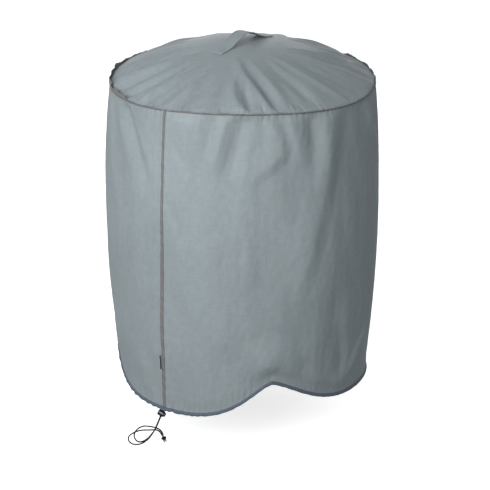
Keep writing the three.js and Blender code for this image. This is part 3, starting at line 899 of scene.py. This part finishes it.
def casing_middle(degrees):
    return Vector(ring_of(degrees, skirt_radius(1.0) + FABRIC / 2, hem_height(degrees) + CASING_HEIGHT / 2))


def make_cord_in_hem():
    gap = casing_angle_gap()
    ring = [casing_middle(a) for a in np.arange(SEAM + gap + 1, SEAM + 360 - gap - 0.5, 3)]
    right = [LOCK_CENTRE + Vector(p) * MM for p in RIGHT_END]
    left = [LOCK_CENTRE + Vector(p) * MM for p in LEFT_END]
    start = [on_strand(STRAND_TOP + 0.3, 1), on_strand(STRAND_TOP + 2, 1)] + right[::-1]
    end = left + [on_strand(STRAND_TOP + 2, -1), on_strand(STRAND_TOP + 0.3, -1)]
    cord = braided_cord("drawcord_through_hem", through(start + ring + end, 1.8 * MM))
    stand_in(cord, "drawcord_in_hem")


make_cord_in_hem()


# ---------------- skirt and top panel

COLUMNS = 640


def spread(count, bunching):
    """Shares from 0 to 1, closer together near both ends."""
    t = np.linspace(0, 1, count)
    return t - bunching * np.sin(TAU * t) / TAU


def cloth_grid(name, places, uvs, middle=None):
    """Cloth 1 mm thick from a grid of rows by COLUMNS + 1 places, whose last column meets the first."""
    rows = places.shape[0]
    merged = list(places[:, :-1].reshape(-1, 3))
    faces = [tuple(reversed(f)) for f in tube_faces(rows, COLUMNS)]
    row = np.repeat(np.arange(rows - 1), COLUMNS)
    column = np.tile(np.arange(COLUMNS), rows - 1)
    corners = np.stack([
        uvs[row + 1, column], uvs[row + 1, column + 1], uvs[row, column + 1], uvs[row, column]
    ], 1).reshape(-1, 2)
    if middle is not None:
        faces += [(len(merged), j, (j + 1) % COLUMNS) for j in range(COLUMNS)]
        ring = np.stack([np.tile(middle[:2], (COLUMNS, 1)), uvs[0, :-1], uvs[0, 1:]], 1).reshape(-1, 2)
        corners = np.concatenate([corners, ring])
        merged.append(middle)
    obj = link(name, merged, faces, [SLATE, INSIDE])
    layer = obj.data.uv_layers.new(name="cloth")
    layer.data.foreach_set("uv", corners.astype(np.float32).ravel())
    solid = obj.modifiers.new("cloth thickness", "SOLIDIFY")
    solid.thickness = 1.0 * MM
    solid.offset = -1
    solid.use_even_offset = False
    solid.material_offset = 1
    solid.material_offset_rim = 0
    return finished(obj)


def make_skirt():
    shares = np.append(spread(170, 0.62), [1.0022, 1.0044])  # the last rows are tucked into the hem's tape
    degrees = SEAM + 360 * spread(COLUMNS + 1, 0.55)
    d, s = np.meshgrid(degrees, shares)
    places = skirt_outside(d, s)
    uvs = stacked(np.radians(d) * RIM_RADIUS, places[..., 2])
    return stand_in(cloth_grid("skirt_cloth", places, uvs), "skirt_panel")


def make_top():
    radii = (RIM_RADIUS + 0.5 * MM) * np.linspace(0.004, 1, 118) ** 0.85
    degrees = SEAM + 360 * spread(COLUMNS + 1, 0.3)
    d, r = np.meshgrid(degrees, radii)
    places = top_outside(r, d)
    top = cloth_grid("top_cloth", places, places[..., :2], (0, 0, CROWN_TOP))
    return stand_in(top, "top_panel")


skirt = make_skirt()
top = make_top()


def between(degrees, start, end, soft=5):
    """1 between two angles, start to end counterclockwise, with soft shoulders."""
    middle, half = (start + end) / 2, (end - start) / 2
    away = np.abs((degrees - middle + 180) % 360 - 180)
    return 1 - smooth_step(away, half - soft, half + soft)


def make_rim_piping():
    """The binding along the rim. It stands up behind on both sides and lies over elsewhere."""
    degrees = np.linspace(SEAM, SEAM + 360, 901)[:-1]
    back_left = between(degrees, 175, 249, 2)
    fattest = between(degrees, 196, 247, 9)
    standing = ((66, 73), (53, 60), (45, 50), (19, 28))
    right = np.maximum.reduce([between(degrees, *ends, 1.2) for ends in standing])
    behind = between(degrees, 76, 172, 3)
    tall = 4.6 + 4.8 * back_left + 3.4 * fattest + 2.6 * right - 1.2 * behind
    tall = tall + 0.8 * waves(degrees, 0, 21, 14, 50, 12) + 0.35 * waves(degrees, 0, 22, 60, 150, 12)
    lean = 40 - 44 * back_left - 16 * right + 44 * behind + 13 * waves(degrees, 0, 23, 10, 46, 12)
    lean = np.radians(lean)
    half = 1.15
    turn = np.linspace(0, math.pi, 7)
    across = np.concatenate([half * np.cos(turn), [-0.85, -1.05, -0.9], [0.9, 1.05, 0.85]])
    up = np.concatenate([1 + 0 * turn, [0.62, 0.3, 0], [0, 0.3, 0.62]])
    beyond = np.concatenate([half * np.sin(turn), np.zeros(6)])
    height = up[None, :] * (tall[:, None] - half) + beyond[None, :]
    base_radius = RIM_RADIUS / MM + 1.9 + 0.2 * waves(degrees, 0, 24, 30, 120, 10)
    base_height = rim_height(degrees) / MM - 2.6
    radius = base_radius[:, None] + across * np.cos(lean)[:, None] + height * np.sin(lean)[:, None]
    z = base_height[:, None] - across * np.sin(lean)[:, None] + height * np.cos(lean)[:, None]
    places = ring_of(degrees[:, None], radius * MM, z * MM)
    sides = places.shape[1]
    run = np.radians(degrees) * RIM_RADIUS
    uvs = stacked(run[:, None], run_along(stacked(across, height[0])) * MM)
    faces = tube_faces(len(degrees), sides)
    last = (len(degrees) - 1) * sides
    faces += [(last + j, last + (j + 1) % sides, (j + 1) % sides, j) for j in range(sides)]
    shape = Shape()
    shape.add(places, faces, uvs)
    # thread through the binding, low on its outer face
    line = places[::2, -2]
    way = line - ring_of(degrees[::2], radius[::2].mean(1) * MM - 3 * MM, z[::2].mean(1) * MM)
    shape.add_stitches(line, way, slot=1)
    return stand_in(shape.build("rim_binding", [TAUPE, DARK_THREAD]), "rim_piping")


def make_top_stitching():
    """A line of stitches through the top panel, just inside the rim."""
    count = 900
    line = top_outside(np.full(count, RIM_RADIUS - 6.5 * MM), np.linspace(SEAM + 1.2, SEAM + 358.8, count))
    shape = Shape()
    shape.add_stitches(line, np.tile((0, 0, 1.0), (count, 1)), slot=0)
    stitches = shape.build("top_edge_stitching", [PALE_THREAD])
    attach(stitches, "root")
    return stitches


def make_seam_binding():
    """The strip sewn over the side seam. It is narrow at the rim and wider at the hem."""
    shares = np.linspace(0.004, 1.003, 300)
    z = skirt_height(shares, SEAM) / MM
    half = 3.0 + 1.9 * smooth_step(shares, 0.1, 0.75) + 0.15 * np.sin(z / 9)
    wander = seam_offset(shares) / MM + 0.5 * np.sin(z / 83) + 0.25 * np.sin(z / 23 + 1)
    across = np.array([-1, -0.97, -0.86, -0.5, -0.1, 0.35, 0.8, 0.95, 1, 0.9, 0, -0.9])
    rise = np.array([0.0, 0.9, 1.45, 1.6, 1.35, 1.3, 1.15, 0.7, 0, -0.5, -0.5, -0.5])
    ripple = 1 + 0.14 * np.sin(z / 2.9 + 2.2 * np.sin(z / 17))
    x = wander[:, None] + across * half[:, None]
    degrees = SEAM + np.degrees(x * MM / skirt_radius(shares)[:, None])
    surface = skirt_outside(np.broadcast_to(degrees, x.shape), np.broadcast_to(shares[:, None], x.shape))
    middle = surface[:, 4:5]
    out = unit(surface * (1, 1, 0))
    places = surface * 0.6 + 0.4 * (surface * (1, 0, 1) + middle * (0, 1, 0))
    places = places + out * (rise * np.where(rise > 0, ripple[:, None], 1) * MM)[..., None]
    shape = Shape()
    shape.add(places, uvs=stacked(x * MM, (z * MM)[:, None]))
    for column in (3, 6):
        shape.add_stitches(places[:, column], out[:, column], slot=1)
    strip = shape.build("side_seam_strip", [TAUPE, DARK_THREAD])
    return stand_in(strip, "side_seam_binding")


def casing_rings(degrees, inset):
    """Rings of the hem casing's section at those angles, inset millimetres inside its outer face."""
    outline = np.array([
        (0.0, -5.7), (1.8, -5.3), (3.1, -4), (3.6, -2), (3.6, 0), (3.3, 1.7), (2.7, 3), (2.1, 3.9),
        (1.8, 4.7), (0, 4.9), (-1.8, 4.7), (-2.1, 3.9), (-2.7, 3), (-3.3, 1.7), (-3.6, 0), (-3.6, -2),
        (-3.1, -4), (-1.8, -5.3),
    ])
    size = np.hypot(outline[:, 0], outline[:, 1])
    outline = outline * ((size - inset) / size)[:, None]
    near = hill((degrees - SEAM + 180) % 360 - 180, 30)
    gather = (0.4 + 0.9 * near) * waves(degrees, 0, 31, 60, 170, 26)
    twist = (0.3 + 0.6 * near) * waves(degrees, 0, 32, 40, 120, 20)
    body = np.clip(1 - np.abs(outline[:, 1] + 0.5) / 7.5, 0, 1)
    out = outline[:, 0] + gather[:, None] * body
    up = outline[:, 1] + twist[:, None] * (0.4 + 0.6 * (outline[:, 1] < 0))
    radius = skirt_radius(1.0) / MM + 0.6 + out
    z = hem_height(degrees)[:, None] / MM + 6.2 + up
    return ring_of(degrees[:, None], radius * MM, z * MM)


def make_hem():
    east, west = casing_angle_gap(11.5 * MM), casing_angle_gap(12.5 * MM)
    rows = 760
    degrees = np.linspace(SEAM + east, SEAM + 360 - west, rows)
    outer, inner = casing_rings(degrees, 0.0), casing_rings(degrees, 0.8)
    sides = outer.shape[1]
    uvs = stacked(np.radians(degrees)[:, None] * RIM_RADIUS, run_along(outer[0]))
    shape = Shape()
    shape.add(outer, tube_faces(rows, sides), uvs)
    shape.add(inner, [tuple(reversed(f)) for f in tube_faces(rows, sides)], uvs)
    for column, way in ((6, 1.0), (12, -1.0)):
        shape.add_stitches(outer[:, column], ring_of(degrees, way, 0.0), slot=1)
    for first in (0, (rows - 1) * sides):
        second = first + rows * sides
        for j in range(sides):
            k = (j + 1) % sides
            shape.faces.append((first + j, first + k, second + k, second + j))
            shape.slots.append(0)
    # the tape's back layer runs on behind the cord where the front layer is open
    degrees = np.linspace(SEAM - west - 0.8, SEAM + east + 0.8, 24)
    outer, inner = casing_rings(degrees, 0.1), casing_rings(degrees, 0.7)
    back = np.concatenate([outer[:, 9:], outer[:, :1], inner[:, :1], inner[:, :8:-1]], 1)
    shape.add(back)
    # and its front layer stands out over the cord's way out, down to the lock
    degrees = np.linspace(SEAM - west - 0.35, SEAM + east + 0.35, 44)
    outer, inner = casing_rings(degrees, -0.12)[:, 3:10], casing_rings(degrees, 0.55)[:, 3:10]
    along = np.radians(degrees - SEAM) * skirt_radius(1.0) / MM
    bulge = 6.6 * hill(along - 0.3, 9, 4) + 0.5 * np.sin(along * 0.9) * hill(along, 9, 4)
    bulge = bulge[:, None] * np.array([1, 1, 0.92, 0.8, 0.5, 0.25, 0])
    way = ring_of(degrees, 1.0, 0.0)[:, None]
    hood = np.concatenate([outer, inner[:, ::-1]], 1)
    hood = hood + way * np.concatenate([bulge, bulge[:, ::-1]], 1)[..., None] * MM
    shape.add(hood)
    # the tape's dark material also carries painted shade for the underside of the hem
    return stand_in(shape.build("hem_band", [HEM_BLUE_AND_SHADE, DARK_THREAD]), "hem_casing")


piping = make_rim_piping()
top_stitching = make_top_stitching()
seam_binding = make_seam_binding()
hem = make_hem()


# ---------------- strap, patch and label

def strap_under(y):
    arch = np.where(np.abs(y) < STRAP_FREE, STRAP_RISE * (1 + np.cos(math.pi * y / STRAP_FREE)) / 2, 0)
    return top_height(np.abs(y), SEAM) + GAP + arch


def strap_part(name, start, end, node, sewn=False):
    """One length of the strap, folded cloth with rolled edges and a line of stitches along each edge. A sewn
    one is the half with the stitched box, which bends from the crown up to the lifted grip."""
    y = np.linspace(start, end, max(24, int(abs(end - start) / (1.1 * MM))))
    height = strap_under(y) + STRAP_THICKNESS / 2
    slope = np.gradient(height, y)
    up = unit(stacked(0, -slope, 1))
    half = STRAP_WIDTH / 2 / MM
    over = [(half, 0), (half - 0.35, 0.75), (half - 1.2, 1.2), (half - 2.6, 1.15), (half - 4.2, 0.95)]
    over += [(x, 1.05 + 0.12 * math.cos(x / 4)) for x in (9, 4.5, 0)]
    section = over + [(-x, z) for x, z in reversed(over[:-1])]
    section += [(-x, -0.92 * z) for x, z in over[1:]] + [(x, -0.92 * z) for x, z in reversed(over[1:-1])]
    section = np.array(section)
    wear = 0.22 * np.sin(y / MM / 7.0 + 0.6 * np.sin(y / MM / 3.1))
    across = section[None, :, 0] * (1 + 0.012 * np.sin(y / MM / 13))[:, None]
    lift = section[None, :, 1] + wear[:, None] * np.cos(section[None, :, 0] / 6)
    middle = stacked(0, y, height)[:, None]
    places = middle + across[..., None] * MM * np.array((1, 0, 0)) + lift[..., None] * MM * up[:, None]
    shape = Shape()
    shape.add(places, uvs=stacked(section[:, 0] * MM, y[:, None]))
    for column in (3, 11):
        shape.add_stitches(places[:, column], up, slot=1)
    if sewn:
        for from_end in (2.6, 6.4):
            at = np.argmin(np.abs(np.abs(y) - (STRAP_HALF - from_end * MM)))
            line = resample(places[at, 2:13], 1 * MM)
            shape.add_stitches(line, np.tile(up[at], (len(line), 1)), slot=1)
    part = shape.build(name, [SLATE, PALE_THREAD])
    if sewn:
        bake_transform(part)
    stand_in(part, node, None if sewn else "strap_grip")


JOIN = GRIP_HALF + 0.4 * MM
strap_part("strap_front_half", -STRAP_HALF, -JOIN, "handle_end_front", sewn=True)
strap_part("strap_grip_middle", -JOIN + 0.1 * MM, JOIN - 0.1 * MM, "handle_grip")
strap_part("strap_back_half", JOIN, STRAP_HALF, "handle_end_back", sewn=True)


def make_patch():
    """The reinforcing disc sewn inside the crown, with its edge turned and two rings of stitches."""
    degrees = np.arange(0, 360, 3.0)
    profile = [(0.4, 0.0), (20, 0), (40, 0.02), (54, 0), (57.5, 0.03), (59.4, 0.2), (60, 0.5), (59.4, 0.8)]
    profile += [(57.5, 0.97), (54, 1.0), (20, 1.0), (0.4, 1.0)]
    profile = np.array(profile)
    out, level = profile[:, :1], profile[:, 1:]
    ripple = 0.08 * waves(degrees, out / 9, 51, 5, 18, 12)
    height = np.clip(level + ripple * (level < 0.5), 0, 1)
    places = ring_of(degrees, out * MM, height * MM)
    shape = Shape()
    shape.add(places)
    turn = np.linspace(0, 360, 260)
    for radius in (56.4, 51.0):
        line = ring_of(turn, radius * MM, 0.06 * MM)
        shape.add_stitches(line, np.tile((0, 0, -1.0), (len(turn), 1)), slot=1, radius=0.22 * MM)
    stand_in(shape.build("crown_lining_disc", [INSIDE, PALE_THREAD]), "crown_patch")


def make_label():
    """A folded label caught in the seam, its loop standing out."""
    low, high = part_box("side_label")
    x = (low.x + high.x) / 2
    tall = high.z - low.z
    reach = 7 * MM
    top_z, bottom_z = skirt_height(0, SEAM), skirt_height(1, SEAM)

    def root_y(z):
        return -skirt_radius((z - top_z) / (bottom_z - top_z)) - FABRIC

    share = np.linspace(0, 1, 10)
    half = 0.55 - 0.12 * np.sin(np.pi * share)
    out, side = share * reach - 0.6 * MM, half * MM
    tip_out, tip_side = reach - np.array([0.25, 0.05, 0.25]) * MM, np.array([0.42, 0.0, -0.42]) * MM
    out, side = np.concatenate([out, tip_out, out[::-1]]), np.concatenate([side, tip_side, -side[::-1]])
    up = np.linspace(0, 1, 22)[:, None]
    z = low.z + up * tall
    bow = (0.9 * np.sin(np.pi * up) + 0.35 * np.cos(7 * up + 1)) * MM * (out / reach) ** 2
    flat = 1 - 0.5 * (np.abs(up - 0.5) * 2) ** 24
    places = stacked(x + side * flat + bow, root_y(z) - out, z)
    shape = Shape()
    shape.add(places, uvs=stacked(np.cumsum(out) * 0.3, up * tall))
    for column, way in ((2, 1.0), (len(out) - 3, -1.0)):
        normals = np.tile((way, 0.0, 0.0), (len(up), 1))
        shape.add_stitches(places[:, column], normals, pitch=2.6 * MM, radius=0.16 * MM)
    label = shape.build("side_label_loop", [LABEL_CLOTH, DARK_THREAD])
    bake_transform(label)
    stand_in(label, "side_label", None)


make_patch()
make_label()


# ---------------- cord lock

def turned_about_x(profile, sides=64):
    """A closed solid of (x, radius) points turned about X, in millimetres."""
    turn = np.arange(sides) * TAU / sides
    verts = [(x * MM, r * MM * math.cos(t), r * MM * math.sin(t)) for x, r in profile for t in turn]
    return verts, capped_tube(len(profile), sides)


def arc_points(x, r, size, start, end, steps=5):
    """Points of a rounded corner centred at (x, r)."""
    for a in np.linspace(math.radians(start), math.radians(end), steps):
        yield (x + size * math.cos(a), r + size * math.sin(a))


def passage(from_x, to_x):
    """The cutter for the hole that both strands run through, along Z."""
    half_y = (CORD_SPACING + CORD) / 2 / MM + 0.3
    half_x = (to_x - from_x) / 2
    corner = min(half_x - 0.01, 2.3)
    outline = []
    for cx, cy, start in ((1, 1, 0), (-1, 1, 90), (-1, -1, 180), (1, -1, 270)):
        x = (from_x + to_x) / 2 + cx * (half_x - corner)
        outline += arc_points(x, cy * (half_y - corner), corner, start, start + 90, 7)
    verts = [(x * MM, y * MM, z * MM) for z in (-20, 20) for x, y in outline]
    return verts, capped_tube(2, len(outline))


def cut(obj, *cutters):
    """obj less the cutters, which are removed."""
    for i, (verts, faces) in enumerate(cutters):
        cutter = outward_normals(link(f"cutter_{i}", verts, faces, []))
        modifier = obj.modifiers.new("cut", "BOOLEAN")
        modifier.object = cutter
        modifier.solver = "EXACT"
        finished(obj)
        bpy.data.objects.remove(cutter)
    return obj


def shade_by_angle(made, degrees=35):
    bmesh.ops.remove_doubles(made, verts=made.verts, dist=0.01 * MM)
    for edge in made.edges:
        edge.smooth = len(edge.link_faces) == 2 and edge.calc_face_angle(0) < math.radians(degrees)
    for face in made.faces:
        face.smooth = True


def lock_matrix():
    depth = UP_STRANDS.cross(BUTTON_WAY)
    basis = Matrix((BUTTON_WAY, depth, UP_STRANDS)).transposed()
    return Matrix.Translation(LOCK_CENTRE) @ basis.to_4x4()


def lock_piece(name, solid, material, cutters, body, node):
    piece = outward_normals(link(name, *solid, [material]))
    if cutters:
        cut(piece, *cutters)
        edited(piece, shade_by_angle)
    piece.data.transform(lock_matrix())
    return stand_in(piece, node, body)


def make_lock():
    radius, mouth, back = LOCK_RADIUS / MM, LOCK_MOUTH / MM, LOCK_BACK / MM
    shell = [(back, 0.01), (back, radius - 3.2)]
    shell += arc_points(back + 2.0, radius - 2.2, 2.0, 180, 100, 8)
    shell += [(back + 2.4, radius - 0.2), (back + 2.9, radius)]
    for groove in (0.0, 1.7, 3.4):
        x = back + 3.6 + groove
        shell += [(x, radius), (x + 0.25, radius - 0.32), (x + 0.75, radius - 0.32), (x + 1.0, radius)]
    shell += [(mouth - 3.2, radius), (mouth - 3.0, radius - 0.15)]
    shell += [(mouth - 2.6, radius - 0.15), (mouth - 2.4, radius)]
    shell += arc_points(mouth - 0.9, radius - 0.9, 0.9, 80, 0, 6)
    shell += [(mouth, 5.9), (mouth - 0.4, 5.6), (mouth - 0.4, 0.01)]
    bore = turned_about_x([(back + 1.6, 0.01), (back + 1.6, 5.6), (mouth + 5, 5.6), (mouth + 5, 0.01)])
    strands = CORD / MM / 2 + 0.3
    lock_piece(
        "cord_lock_housing", turned_about_x(shell), LOCK_NAVY, [bore, passage(-strands, strands)],
        "cord_lock", "cord_lock_barrel",
    )
    front, rear = mouth + 4.2, -strands - 1.7
    plunger = [(rear, 0.01), (rear, 5.1), (rear + 0.35, 5.45), (front - 3.6, 5.45)]
    for ring in (0.0, 0.9, 1.8):
        x = front - 3.4 + ring
        plunger += [(x, 5.45), (x + 0.15, 5.25), (x + 0.45, 5.25), (x + 0.6, 5.45)]
    plunger += arc_points(front - 0.8, 4.65, 0.8, 80, 0, 6)
    plunger += [(front - 0.1, 4.2), (front - 0.45, 2.8), (front - 0.6, 1.2), (front - 0.62, 0.01)]
    lock_piece(
        "cord_lock_plunger", turned_about_x(plunger), LOCK_NAVY,
        [passage(-strands, strands + LOCK_TRAVEL / MM)], "lock_button", "cord_lock_button",
    )
    start, end = back + 1.6 + 0.45, rear - 0.45
    turn = np.linspace(0, 3.5 * TAU, 120)
    at = np.clip((turn / TAU - 0.35) / 2.8, 0, 1)
    coil = stacked(start + (end - start) * at, 3.9 * np.cos(turn), 3.9 * np.sin(turn)) * MM
    shape = Shape()
    shape.add_tube(coil, circle(0.3 * MM, 8))
    coil_solid = (shape.verts, shape.faces)
    spring = lock_piece(
        "cord_lock_coil", coil_solid, WIRE, [], "cord_lock", "cord_lock_spring"
    )
    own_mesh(spring)


make_lock()


# ---------------- stage and light

def make_stage():
    glow = {"Emission_Strength": 0.68, "Emission_Color": (1, 1, 1, 1)}
    floor_paint, n = shader_material("pale_floor", (0.8, 0.8, 0.8), 0.7, **glow)
    tone = n.ramp(n.noise(n.place(), 2.0), 0.3, 0.7, 0.79, 0.81)
    n.surface(n.new("ShaderNodeCombineColor", {0: tone, 1: tone, 2: tone}).outputs[0])
    wide = 30
    corners = [(-wide, -wide, FLOOR), (wide, -wide, FLOOR), (wide, wide, FLOOR), (-wide, wide, FLOOR)]
    floor = link("floor", corners, [(0, 1, 2, 3)], [floor_paint], smooth=False)
    floor.visible_diffuse = False
    floor.visible_glossy = False


def area_light(name, azimuth, elevation, distance, size, power):
    """A square light that looks at the middle of the cover. azimuth is in degrees from +X."""
    data = bpy.data.lights.new(name, "AREA")
    data.size = size
    data.energy = power
    back = direction(azimuth, elevation)
    place_object(name, data, back * distance + Vector((0, 0, -0.45)), -back)


def make_light():
    """A soft sky, brightest at eye level and dimmer overhead and from below, with two square lights."""
    world = bpy.data.worlds.new("studio")
    bpy.context.scene.world = world
    world.use_nodes = True
    n = Nodes(world)
    way = n.new("ShaderNodeTexCoord").outputs["Generated"]
    up = n.new("ShaderNodeSeparateXYZ", {0: way}).outputs[2]
    horizon = n.ramp(up, -0.5, 0.25, 0.22, 0.67, "SMOOTHSTEP")
    zenith = n.ramp(up, 0.35, 0.95, 1.0, 0.5, "SMOOTHSTEP")
    background = world.node_tree.nodes["Background"]
    background.inputs[0].default_value = (0.97, 0.985, 1, 1)
    n.tree.links.new(n.math("MULTIPLY", horizon, zenith), background.inputs[1])
    area_light("key", -80, 24, 2.8, 1.5, 80)
    area_light("behind", 127, 12, 3.2, 1.6, 26)
    bpy.context.scene.view_settings.view_transform = "Standard"


make_stage()
make_light()
